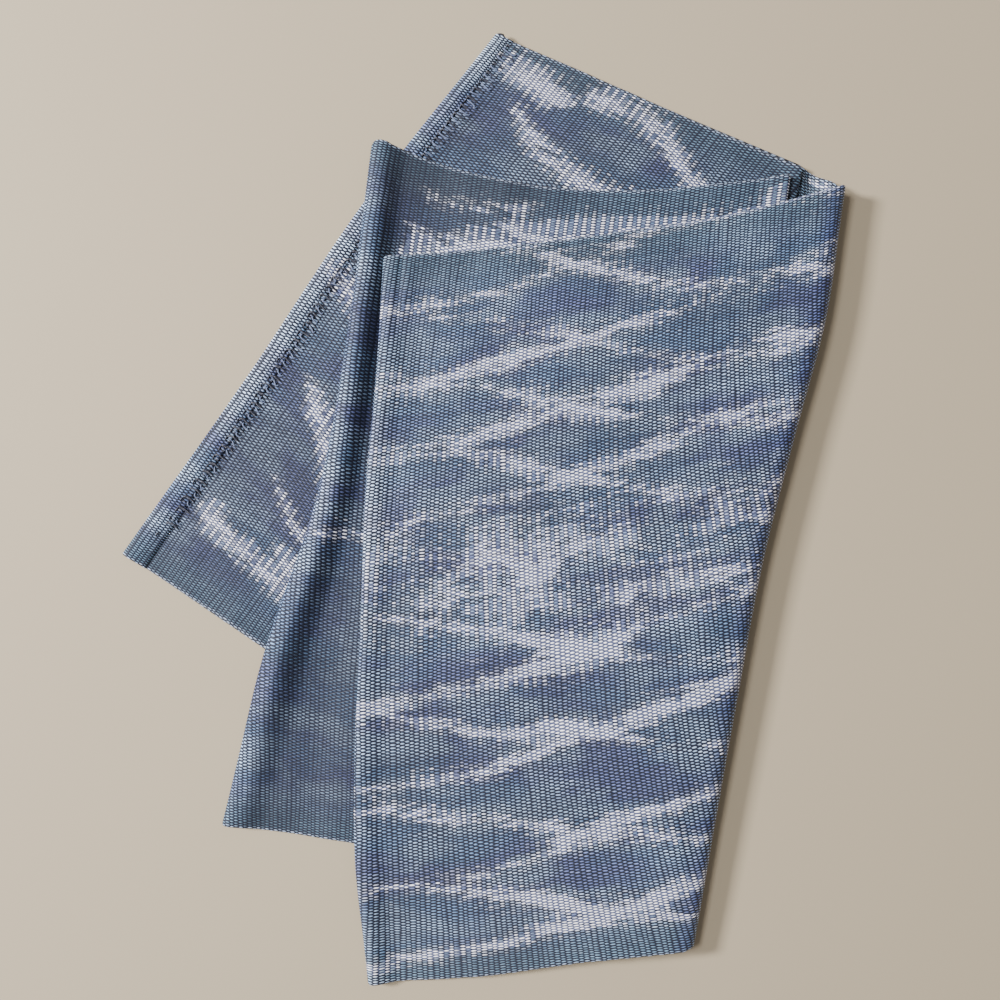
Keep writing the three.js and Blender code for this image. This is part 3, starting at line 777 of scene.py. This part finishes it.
def weave(g, x, number, y):
    """Height of a warp-faced plain weave, the warp thread on top, whether it is an even one (1) or
    an odd one (0), and the number of its float."""
    pick = g.plus(g.math("DIVIDE", x, PICK), g.times(g.patches("drift", x, y), UNEVEN["picks"]))
    place = g.plus(number, g.times(g.patches("sway", x, y), UNEVEN["threads"]))
    crest = g.times(g.math("COSINE", g.times(pick, math.pi)), LIFT)

    def nearest(parity):
        half = g.math("ROUND", g.times(g.minus(place, parity), 0.5))
        return g.plus(g.times(half, 2.0), parity)

    def height_of(thread, rise):
        off = g.minus(place, thread)
        return g.minus(rise, g.times(g.times(off, off), ROUND))

    even, odd = nearest(0.0), nearest(1.0)
    even_height = height_of(even, crest)
    odd_height = height_of(odd, g.times(crest, -1.0))
    is_even = g.math("GREATER_THAN", even_height, odd_height)
    height = g.math("MAXIMUM", even_height, odd_height)
    thread = g.pick(is_even, odd, even)
    float_number = g.math("ROUND", g.times(g.minus(pick, g.minus(1.0, is_even)), 0.5))
    return height, thread, is_even, float_number


def woven(name, streaked=True):
    """The cloth: even and odd warp threads pass over the weft threads in turn."""
    g = Graph(name)
    x, y, number = g.parts(g.attribute("threads", "Vector"))
    # dye depths of the odd and even threads, and the violet painted shade of the right fold
    odd_dye, even_dye, rim_shade = g.parts(g.attribute("dye_and_rim_shade", "Vector"))
    edge = g.attribute("edge")
    # the depth attribute is painted light and shade, not a depth of dye
    light = g.attribute("depth")
    height, thread, is_even, float_number = weave(g, x, number, y)
    cell = g.chance(g.vector(thread, float_number))
    thread_chance = g.chance(g.vector(thread, THREAD_KEY))

    blue = g.blend(g.change("tint", g.patches("tint", x, y)), BLUE, BLUE_VIOLET)
    blue = g.blend(g.change("wash", g.patches("wash", x, y)), blue, SKY)
    blue = g.blend(g.change("towards_selvedge", edge), blue, BLUE_GREEN)
    # violet painted shade on the right fold
    blue = g.blend(rim_shade, blue, SHADED_RIM_VIOLET)
    # painted sheen on the lit crests, and pale patches where the blotches run high
    blue = g.blend(g.change("painted_sheen", light), blue, PAINTED_SHEEN)
    shade = g.plus(SHADES["least"], g.times(g.patches("stripe", x, thread), SHADES["stripe"]))
    shade = g.plus(shade, g.times(g.plus(cell, thread_chance), SHADES["float"]))
    # times the painted light and shade
    shade = g.times(shade, light)
    blue = g.blend(1.0, blue, g.vector(shade, shade, shade), "MULTIPLY")

    colour, gap = blue, GAP
    if streaked:
        bundle = g.math("ROUND", g.math("DIVIDE", thread, BUNDLE))
        depth = g.pick(is_even, odd_dye, even_dye)
        for chance, kind in (
            (g.patches("tied", x, bundle), "tied"),
            (g.patches("loose", x, thread), "loose"),
            (cell, "float"),
        ):
            depth = g.plus(depth, g.times(g.minus(chance, 0.5), RAGGED[kind]))
        dyed = g.times(g.change("dyed", depth), g.math("MULTIPLY_ADD", cell, *PALE_FLOAT))
        dyed = g.math("MAXIMUM", dyed, g.times(g.change("halo", depth), cell))
        colour = g.blend(dyed, blue, PALE)
        gap = g.blend(g.change("pale_gap", dyed), GAP, PALE_GAP)
    at_edge = g.times(g.change("selvedge", edge), g.math("MULTIPLY_ADD", cell, *EDGE_FLOAT))
    colour = g.blend(at_edge, colour, SELVEDGE)
    # the low places between the floats take the gap colour: partly the dark weft, partly painted shade
    # of these recesses
    colour = g.blend(g.change("out_of_gap", height), gap, colour)
    g.set(Base_Color=colour, **SHINE)
    g.bump(height, **BUMP)
    return g.material


TWIST = {"scale": 2600.0, "dark": 0.6, "light": 1.5}
TWIST_BUMP = {"strength": 0.4, "length": 0.0001}
THREAD_SHINE = {"Roughness": 0.55, "Sheen_Weight": 0.2}


def thread_material(name, colour):
    """Sewing thread, with the twist of its strands."""
    g = Graph(name)
    grain = g.noise(g.position(), TWIST["scale"])
    dark, light = ([c * TWIST[key] for c in colour[:3]] + [1] for key in ("dark", "light"))
    g.set(Base_Color=g.blend(grain, dark, light), **THREAD_SHINE)
    g.bump(grain, **TWIST_BUMP)
    return g.material


cloth = woven("woven_cloth")
inner = woven("inner_cloth", streaked=False)


# ---- cloth pieces

STEPS = {
    "back": {"left": 14, "left_fold": 8, "flat": 170, "right_fold": 6, "right": 6},
    "middle": {"left": 8, "left_fold": 9, "flat": 140, "right_fold": 7, "right": 8},
    "front": {"left": 8, "left_fold": 9, "flat": 134, "right_fold": 20, "right": 10},
}
SEEDS = {"back": 11, "middle": 23, "front": 37}

# Brightness of the blue: of the whole stretch; of the part from its crest to about 80 mm off its
# left fold, which is painted shade of the trough there; and how much is added on that fold, a
# painted highlight on its lit crest.
SHADE = {"back": 0.61, "middle": 0.7, "front": 0.92}
FOLD_TROUGH_SHADE = {"back": 0.9, "middle": 0.5, "front": 1}
CREST_HIGHLIGHT = {"back": 1.5, "middle": 0.7, "front": 0.45}
CREST_HIGHLIGHT_AT = {"place": 4, "half": 5.5}
FOLD_TROUGH_SHADE_BAND = {"from": (14, 4), "to": (60, 100)}
# Random lighter and darker blotches: partly uneven dye, partly painted shade of broad undulations.
BLOTCHES = [(62, 47, 0.26, 0), (25, 15, 0.2, 1)]
BLOTCH_SEED = 500

# Bands along the right fold, by the distance that is left to the fold's edge, below 0 past it:
# a painted highlight on the fold's edge, and violet painted shade on the cloth just before it,
# which rolls away from the light.
RIGHT_FOLD_HIGHLIGHT = {"ends": (-9, -5, 0, 3), "brighter": 0.9}
RIGHT_FOLD_SHADE = {"ends": (-1, 3, 7, 15), "strength": 0.6, "change": 0.2, "cell": 9, "seed": 15}
PLAIN_BELOW = {"from": -14, "to": -26, "by": 5}  # where the streaks of the front stretch stop


# The painted light and shade of a stretch, read by the material as the depth attribute: its overall
# brightness, random blotches, painted highlights on the left fold's crest and the right fold's edge,
# and painted shade in the trough beside the left fold.
def brightness_of(stretch, x, y, lengths, to_fold):
    name = stretch.name
    light = 1 + noise_sum(x, y, BLOTCHES, SEEDS[name] + BLOTCH_SEED)
    # painted highlight on the lit crest of the left fold
    crest = bell(lengths - CREST_HIGHLIGHT_AT["place"], CREST_HIGHLIGHT_AT["half"])
    light = light * SHADE[name] * (1 + CREST_HIGHLIGHT[name] * crest)
    # painted shade in the trough beside the left fold, from its crest to about 80 mm off it
    outer = smooth(*FOLD_TROUGH_SHADE_BAND["to"], lengths) + smooth(*FOLD_TROUGH_SHADE_BAND["from"], lengths)
    light = light * mix(FOLD_TROUGH_SHADE[name], 1, outer)
    # painted highlight on the edge of the right fold
    return light * (1 + RIGHT_FOLD_HIGHLIGHT["brighter"] * band(to_fold, RIGHT_FOLD_HIGHLIGHT["ends"]))


def cloth_attributes(stretch, lengths, shares):
    x, y = warp_places(stretch, lengths, shares)
    to_fold = distance(stretch.plan(0, shares), stretch.plan(1, shares)) - lengths
    tied = BUNDLE * END["middle"]
    dyes = [dye_of(stretch, x, tied * np.round(y / tied), WARPS[key]) for key in ("odd", "even")]
    rim_shade = np.zeros(x.shape)
    if stretch.name == "front":
        # violet painted shade along the right fold, which rolls away from the light
        change = RIGHT_FOLD_SHADE["change"] * wave(y / RIGHT_FOLD_SHADE["cell"], 0.5, RIGHT_FOLD_SHADE["seed"])
        rim_shade = band(to_fold, RIGHT_FOLD_SHADE["ends"]) * (RIGHT_FOLD_SHADE["strength"] + change)
        landed = smooth(PLAIN_BELOW["from"], PLAIN_BELOW["to"], to_fold)
        dyes = [dye_and_rim_shade - PLAIN_BELOW["by"] * landed for dye_and_rim_shade in dyes]
    return {
        "threads": np.stack([x, y, thread_numbers(y, stretch.width)], -1),
        # dye depths of the odd and even threads, and the painted shade of the right fold
        "dye_and_rim_shade": np.stack([*dyes, rim_shade], -1),
        "edge": np.minimum(shares, 1 - shares) * stretch.width,
        # painted light and shade, read by the material
        "depth": brightness_of(stretch, x, y, lengths, to_fold),
    }


grids = {}
stretch_pieces = {}
for key, stretch in STRETCHES.items():
    points, lengths, shares = grid_of(stretch, STEPS[key], SEEDS[key])
    grids[key] = (points, lengths, shares)
    attributes = cloth_attributes(stretch, lengths, shares)
    piece = shell_object(f"{key}_cloth", points, thinned(stretch, shares), cloth, attributes)
    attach(piece, "root")
    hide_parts(f"{key}_stretch")
    stretch_pieces[key] = piece


# The lapped end of the strip, on the back stretch from high on its left fold to the stitches.
# It is pressed thin where the stitches hold it down.
back = STRETCHES["back"]
points, lengths, shares = grids["back"]
first = STEPS["back"]["left"] + round(STEPS["back"]["left_fold"] * LAP["fold_share"])
past_fold = back.section(0.5)["from"] + LAP["width"]
last = first + int(np.searchsorted(lengths[0, first:], past_fold)) + 1
pressed = smooth(LAP["pressed_from"], 1, np.linspace(0, 1, last - first))
thinner = mix(1, LAP["pressed"], pressed)
lap_half = thinned(back, shares[:, first:last]) * thinner
lift = CLOTH / 2 + mix(SEAM_GAP, LAP["pressed_gap"], pressed) + CLOTH / 2 * thinner
lifted = points[:, first:last] + outward_of(points)[:, first:last] * lift[:, None]
lap_attributes = {
    key: values[:, first:last] for key, values in cloth_attributes(back, lengths, shares).items()
}
lap = shell_object("join_lap_cloth", lifted, lap_half, cloth, lap_attributes)
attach(lap, "root")
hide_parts("join_lap")


# ---- stitches

STITCH = {
    "pitch": 5.6, "from": 4, "until": 318, "radius": 0.3, "sides": 6,
    "taper": 0.3,  # share of the thread's thickness at its ends
    "sink": 0.6,  # share of the radius by which it lies above the cloth
    "shift": (0.7, 0.42),  # how far a whole stitch is off its place, along the cloth and the fold
    "loose": 0.35,  # how far each of its places is
    "fade": 60, "kept": 0.35,  # length over which the strokes get fewer, and the share left
    "margin": 0.5, "seed": 71,
}
# Strokes of one stitch: whether the thread is the navy one, how many times as thick as the thread
# it is, and its places (mm from the fold, mm along it, mm above the cloth).
STROKES = [
    (True, 1.25, [
        (8.2, 0.6, 0), (9.2, 0.1, 0.35), (10.6, -0.3, 0.3), (12.4, -0.4, 0.35), (14.8, 0.3, -0.1),
    ]),
    (True, 0.9, [(8.4, 0.7, 0), (8.3, 2.0, 0.25), (8.6, 3.4, -0.1)]),
    (True, 0.8, [(9.6, 3.2, 0), (10.4, 2.5, 0.3), (11.4, 2.9, 0)]),
    (False, 1.2, [(12.0, 1.0, 0), (12.6, 2.4, 0.5), (13.6, 3.2, 0.4), (14.4, 2.2, 0.1)]),
    (False, 1.1, [(9.4, 1.6, 0), (10.4, 1.4, 0.3), (11.6, 2.0, 0)]),
]


def on_grid(points, lengths, width, d, y):
    """The point of a grid of cloth that lies d along it and y from the top selvedge."""
    shares = rows_across(width)
    row = np.interp(y / width, shares, np.arange(len(shares)))
    low = min(int(row), len(shares) - 2)
    ends = [
        np.array([np.interp(d, lengths[r], points[r, :, axis]) for axis in range(3)])
        for r in (low, low + 1)
    ]
    return mix(*ends, row - low)


def tube(path, radius, sides):
    """Points and quads of a closed round thread that follows a path."""
    path = np.asarray(path)
    along_path = unit(np.gradient(path, axis=0))
    side = unit(np.cross(along_path, [0, 0, 1]))
    up = np.cross(side, along_path)
    from_end = np.minimum(np.arange(len(path)), np.arange(len(path))[::-1])
    taper = radius * np.minimum(1, STITCH["taper"] + from_end)
    angle = np.linspace(0, 2 * math.pi, sides, endpoint=False)
    ring = side[:, None] * np.cos(angle)[:, None] + up[:, None] * np.sin(angle)[:, None]
    rings = (path[:, None] + ring * taper[:, None, None]).reshape(-1, 3)
    at = np.arange(len(rings)).reshape(len(path), sides)
    after = np.roll(at, -1, axis=1)
    caps = []
    for ring_at, turn in ((at[0], 1), (at[-1], -1)):
        for k in range(1, sides - 2, 2):
            caps.append([ring_at[0], ring_at[k], ring_at[k + 1], ring_at[k + 2]][::-turn])
    return rings, np.concatenate([quads(at[:-1], after[:-1], after[1:], at[1:]), np.array(caps)])


def stitches(points, lengths, lap_points, lap_lengths, width):
    """Threads of the overlocked join, which fade out towards the bottom selvedge."""
    rng = np.random.default_rng(STITCH["seed"])
    made = {True: [], False: []}
    margin = STITCH["margin"]
    for y in np.arange(STITCH["from"], STITCH["until"], STITCH["pitch"]):
        shift = rng.uniform(-1, 1, 2) * STITCH["shift"]
        fade = smooth(STITCH["until"], STITCH["until"] - STITCH["fade"], y)
        for navy, thickness, places in STROKES:
            loose = rng.uniform(-STITCH["loose"], STITCH["loose"], (len(places), 2))
            if rng.uniform() > mix(STITCH["kept"], 1, fade):
                continue
            radius = STITCH["radius"] * thickness
            path = []
            for (d, along_fold, above), (wide, long) in zip(places, loose):
                d = d + shift[0] + wide
                at = min(max(y + along_fold + shift[1] + long, margin), width - margin)
                base = on_grid(points, lengths, width, d, at)
                if d < lap_lengths.max():
                    base = on_grid(lap_points, lap_lengths, width, d, at)
                path.append(base + np.array([0, 0, CLOTH / 2 + STITCH["sink"] * radius + above]))
            stops = np.linspace(0, 1, 2 * len(path) + 1)
            knots = np.linspace(0, 1, len(path))
            smooth_path = np.stack([curve(knots, [p[k] for p in path], stops) for k in range(3)], -1)
            made[navy].append(tube(smooth_path, radius, STITCH["sides"]))
    return made


def joined(parts):
    """One set of points and faces from several."""
    starts = np.cumsum([0] + [len(points) for points, _ in parts[:-1]])
    faces = [faces + start for (_, faces), start in zip(parts, starts)]
    return np.concatenate([points for points, _ in parts]), np.concatenate(faces)


lap_top = lifted + np.array([0, 0, 1]) * (lap_half - CLOTH / 2)[..., None]
threads_made = stitches(points, lengths, lap_top, lengths[:, first:last], back.width)
for name, navy, colour in (("navy", True, NAVY), ("slate", False, SLATE)):
    material = thread_material(f"{name}_thread", colour)
    piece = mesh_object(f"{name}_stitches", *joined(threads_made[navy]), material)
    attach(piece, "root")


# ---- hidden layers

HIDDEN = {
    "inset": 6,  # from the selvedges of the stretch above
    "behind_fold": 15,  # from the left fold
    "thinnest": 0.5,
    "spread": 2,  # points around, whose highest floor counts
    "ridges": 3,
    "points_per_ridge": 6,
    "bulge": 1.2,
    "bulge_change": 0.8,
    "change_cell": 23,
    "roundness": 0.6,
    "seed": 61,
}
BEFORE_FOLD = {"front": 10, "middle": 12}  # from the right fold
CAST_BELOW = 0.1


def cast_down(trees, point):
    """Height of the first cloth met below a point."""
    hits = [tree.ray_cast(Vector(point), Vector((0, 0, -1)))[0] for tree in trees]
    return max([0.0] + [hit.z for hit in hits if hit is not None])


def widest(values, reach):
    """The highest of the values near each one."""
    window = (2 * reach + 1, 2 * reach + 1)
    around = np.lib.stride_tricks.sliding_window_view(np.pad(values, reach, mode="edge"), window)
    return around.max(axis=(-2, -1))


def layers_below(key, trees):
    """Folded layers that fill the space below a stretch, with rounded edges, one above another."""
    stretch = STRETCHES[key]
    points, lengths, shares = grids[key]
    until = stretch.section(0.5)["reach"] - BEFORE_FOLD[key]
    edge = shares[:, 0] * stretch.width
    rows = np.flatnonzero((edge > HIDDEN["inset"]) & (edge < stretch.width - HIDDEN["inset"]))[::2]
    steps = STEPS[key]
    first_flat = steps["left"] + steps["left_fold"] + 1
    columns = np.arange(first_flat, first_flat + steps["flat"])
    d = lengths[len(rows) // 2, columns]
    columns = columns[(d > HIDDEN["behind_fold"]) & (d < until)][::2]
    top = points[np.ix_(rows, columns)]
    top[..., 2] -= CLOTH / 2 + AIR
    hits = np.array([[cast_down(trees, point - [0, 0, CAST_BELOW]) for point in row] for row in top])
    floor = widest(hits, HIDDEN["spread"]) + AIR
    bottom = top.copy()
    bottom[..., 2] = np.minimum(floor, top[..., 2] - HIDDEN["thinnest"])
    return layered_solid(top, bottom)


def layered_solid(top, bottom):
    """A closed solid between two grids with the same edge, whose sides bulge once for each layer."""
    rows, columns = top.shape[:2]
    at = np.arange(rows * columns).reshape(rows, columns)
    ring = np.concatenate([at[0, :-1], at[:-1, -1], at[-1, :0:-1], at[:0:-1, 0]])
    upper, lower = top.reshape(-1, 3)[ring], bottom.reshape(-1, 3)[ring]
    run = np.roll(upper, -1, axis=0) - np.roll(upper, 1, axis=0)
    out = unit(np.stack([-run[:, 1], run[:, 0], np.zeros(len(run))], -1))
    stops = np.linspace(0, 1, HIDDEN["points_per_ridge"] * HIDDEN["ridges"] + 1)[1:-1]
    place = np.arange(len(ring)) / HIDDEN["change_cell"]
    inner = 2 * rows * columns
    points = [top.reshape(-1, 3), bottom.reshape(-1, 3)]
    strips = [ring]
    for k, stop in enumerate(stops):
        layer = int(stop * HIDDEN["ridges"])
        arch = abs(math.sin(stop * HIDDEN["ridges"] * math.pi)) ** HIDDEN["roundness"]
        bulge = HIDDEN["bulge"] + HIDDEN["bulge_change"] * wave(place, layer + 0.5, HIDDEN["seed"])
        points.append(mix(upper, lower, stop) + out * (arch * bulge)[:, None])
        strips.append(inner + k * len(ring) + np.arange(len(ring)))
    strips.append(ring + rows * columns)
    faces = two_sides(at, at + rows * columns)
    for above, below in zip(strips[:-1], strips[1:]):
        faces.append(quads(above, np.roll(above, -1), np.roll(below, -1), below))
    return np.concatenate(points), np.concatenate(faces)


def tree_of(piece):
    vertices = [tuple(v.co / MM) for v in piece.data.vertices]
    return BVHTree.FromPolygons(vertices, [tuple(p.vertices) for p in piece.data.polygons])


trees = {key: tree_of(piece) for key, piece in stretch_pieces.items()}
trees["lap"] = tree_of(lap)
below_middle = [trees[key] for key in ("back", "lap", "middle")]
upper_layers = layers_below("front", [*below_middle, trees["front"]])
layer_points, layer_faces = joined([upper_layers, layers_below("middle", below_middle)])
x, y = layer_points[:, 0], layer_points[:, 1]
layer_attributes = {
    "threads": np.stack([x, y, y / END["middle"]], -1),
    "edge": np.full(len(x), 30.0),
    "depth": np.full(len(x), 1.0),
    "dye_and_rim_shade": np.zeros((len(x), 3)),
}
layers = mesh_object("hidden_layers_cloth", layer_points, layer_faces, inner, layer_attributes)
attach(layers, "root")
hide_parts("hidden_layers")


# ---- stage


FLOOR = {
    "size": 6, "clouds": 3.0, "roughness": 0.85,
    "dark": linear(131, 120, 102), "light": linear(137, 126, 108),
}
CAMERA = {"lens": 36, "sensor": 36, "place": (0.0092, 0.0044, 0.5)}
WORLD = {"Color": (1, 0.95, 0.9, 1), "Strength": 0.4}
# Lights: place in m, size in m, power in W, colour.
LIGHTS = {
    "key": ((-1.5, 0.34, 1.14), 0.32, 124, (1, 0.985, 0.955)),
    "high": ((-0.86, 0.3, 1.7), 0.4, 50, (1, 0.985, 0.955)),
    "fill": ((0.6, 0.8, 1.6), 1.4, 4, (1, 0.97, 0.92)),
}


def floor_material():
    g = Graph("table")
    cloud = g.noise(g.position(), FLOOR["clouds"])
    g.set(Base_Color=g.blend(cloud, FLOOR["dark"], FLOOR["light"]), Roughness=FLOOR["roughness"])
    return g.material


def add_floor():
    bpy.ops.mesh.primitive_plane_add(size=FLOOR["size"])
    floor = bpy.context.object
    floor.name = "floor"
    floor.data.materials.append(floor_material())


def add_light(name, place, size, watts, colour):
    data = bpy.data.lights.new(name, "AREA")
    data.energy = watts
    data.size = size
    data.color = colour
    light = bpy.data.objects.new(name, data)
    light.location = place
    light.rotation_euler = (-Vector(place)).to_track_quat("-Z", "Y").to_euler()
    bpy.context.scene.collection.objects.link(light)


def add_camera():
    data = bpy.data.cameras.new("camera")
    data.lens = CAMERA["lens"]
    data.sensor_width = CAMERA["sensor"]
    camera = bpy.data.objects.new("camera", data)
    camera.location = CAMERA["place"]
    bpy.context.scene.collection.objects.link(camera)
    bpy.context.scene.camera = camera


def add_world():
    world = bpy.data.worlds.new("studio")
    world.use_nodes = True
    for key, value in WORLD.items():
        world.node_tree.nodes["Background"].inputs[key].default_value = value
    bpy.context.scene.world = world


add_floor()
for name, light in LIGHTS.items():
    add_light(name, *light)
add_camera()
add_world()
